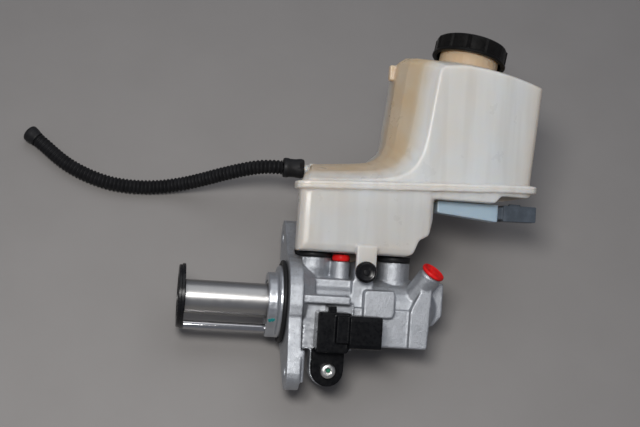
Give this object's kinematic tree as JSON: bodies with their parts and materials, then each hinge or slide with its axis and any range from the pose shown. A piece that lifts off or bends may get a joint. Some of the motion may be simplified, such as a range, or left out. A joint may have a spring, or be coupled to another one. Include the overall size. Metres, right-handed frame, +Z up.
{
  "type": "brake master cylinder",
  "caption": "Tandem brake master cylinder lying on its side, with push rod plate, translucent fluid reservoir, screw cap, level sensor, brake light switch and breather hose.",
  "frame": {"origin": "middle of the footprint, at the surface the part lies on, measured without the breather hose", "axes": "+X along the bore from the booster face to the closed nose, +Z up, +Y towards the reservoir"},
  "size_m": [0.3709, 0.2538, 0.1436],
  "materials": {
    "cast_aluminium": "die-cast, fine grain, softly reflecting",
    "turned_aluminium": "turned and anodised, fine rings",
    "polished_steel": "ground and polished",
    "steel": "zinc plated",
    "spring_steel": "drawn wire, oiled",
    "magnet": "sintered, dark",
    "seal_rubber": "moulded, satin",
    "black_plastic": "moulded, satin",
    "connector_plastic": "glass filled, fine grain",
    "cap_plastic": "moulded, fine grain",
    "natural_plastic": "natural, translucent, satin",
    "strainer_plastic": "natural",
    "sensor_plastic": "pale blue, translucent",
    "red_plastic": "soft moulded",
    "hose_plastic": "corrugated, satin",
    "hose_rubber": "moulded, satin",
    "pin_brass": "tinned brass"
  },
  "bodies": {
    "housing": {"cylinder_casting": "cast_aluminium", "flange_o_ring": "seal_rubber", "piston_guide_ring": "black_plastic", "retaining_ring": "steel", "outer_vacuum_seal": "seal_rubber", "primary_cup_seal": "seal_rubber", "separating_seal": "seal_rubber", "secondary_cup_seal": "seal_rubber", "primary_spring": "spring_steel", "secondary_spring": "spring_steel", "reservoir_lower_shell": "natural_plastic", "reservoir_upper_shell": "natural_plastic", "rear_grommet": "seal_rubber", "front_grommet": "seal_rubber", "reservoir_pin": "black_plastic", "filler_strainer": "strainer_plastic", "level_sensor_holder": "sensor_plastic", "level_sensor_connector": "connector_plastic", "level_sensor_terminal_1": "pin_brass", "level_sensor_terminal_2": "pin_brass", "brake_switch_body": "connector_plastic", "brake_switch_terminal_1": "pin_brass", "brake_switch_terminal_2": "pin_brass", "brake_switch_terminal_3": "pin_brass", "brake_switch_terminal_4": "pin_brass", "switch_bush": "steel", "switch_screw": "steel", "middle_outlet_plug": "red_plastic", "hose_reservoir_cuff": "hose_rubber", "hose_tube": "hose_plastic", "hose_end_cuff": "hose_rubber"},
    "primary_plunger": {"primary_piston": "turned_aluminium", "push_plate": "black_plastic", "switch_rod": "polished_steel", "rod_magnet": "magnet"},
    "secondary_plunger": {"secondary_piston": "turned_aluminium"},
    "cap_seal": {"cap_gasket": "seal_rubber"},
    "cap": {"filler_cap": "cap_plastic"},
    "float": {"level_float": "strainer_plastic"},
    "front_plug": {"front_outlet_plug": "red_plastic"}
  },
  "joints": [
    {"name": "primary_slide", "type": "slide", "parent": "housing", "child": "primary_plunger", "axis": [1, 0, 0], "range_m": [0, 0.03], "stiffness_N_per_m": 2500, "deforming": ["primary_spring"]},
    {"name": "secondary_slide", "type": "slide", "parent": "housing", "child": "secondary_plunger", "axis": [1, 0, 0], "range_m": [0, 0.013], "deforming": ["secondary_spring"]},
    {"name": "cap_lift", "type": "slide", "parent": "housing", "child": "cap_seal", "axis": [0.1835, 0.8757, 0.4466], "range_m": [0, 0.012]},
    {"name": "cap_turn", "type": "hinge", "parent": "cap_seal", "child": "cap", "pos_m": [0.076, 0.10335, 0.11338], "axis": [0.1835, 0.8757, 0.4466], "range_deg": [0, 540]},
    {"name": "float_slide", "type": "slide", "parent": "housing", "child": "float", "axis": [0, 0.848, 0.5299], "range_m": [0, 0.024]},
    {"name": "front_plug_pull", "type": "slide", "parent": "housing", "child": "front_plug", "axis": [0.4396, 0.4313, 0.7879], "range_m": [0, 0.015]}
  ],
  "couplings": [
    {"joint": "secondary_slide", "follows": "primary_slide", "ratio": 0.43333},
    {"joint": "cap_turn", "follows": "cap_lift", "rad_per_m": 785.39}
  ]
}
